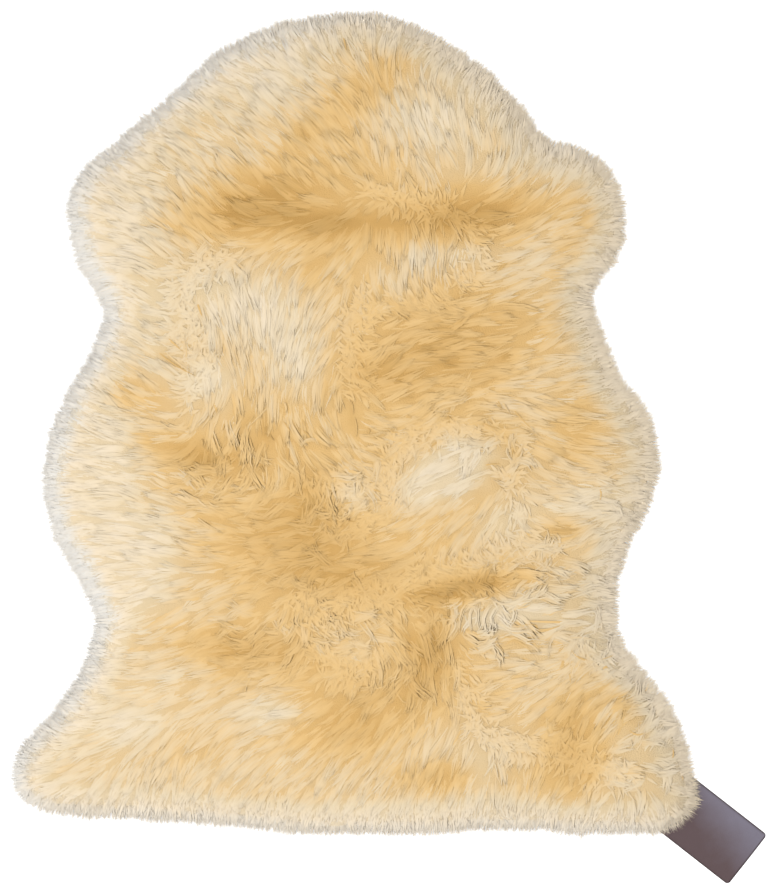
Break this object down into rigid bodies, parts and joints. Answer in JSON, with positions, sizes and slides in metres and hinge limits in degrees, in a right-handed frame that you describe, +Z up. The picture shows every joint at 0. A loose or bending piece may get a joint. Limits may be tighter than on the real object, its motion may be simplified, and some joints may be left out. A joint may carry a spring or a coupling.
{
  "type": "sheepskin rug",
  "caption": "Whole sheepskin rug lying flat, wool side up, with a thick cream-gold fleece, a suede underside and a blank leather label under one hind leg.",
  "frame": {"origin": "centre of the rug's whole footprint, label included, on the floor under it", "axes": "+Z up through the wool, +Y from the tail end to the neck, +X to the right seen from above with the neck away"},
  "size_m": [0.7772, 0.9046, 0.0539],
  "materials": {
    "wool": "long soft natural wool, pale cream at the tips and golden below",
    "suede": "napped suede of tanned skin",
    "label_leather": "smooth dark purplish-brown leather, satin"
  },
  "bodies": {
    "root": {"fleece": "wool", "hide": "suede", "label": "label_leather"}
  },
  "joints": []
}
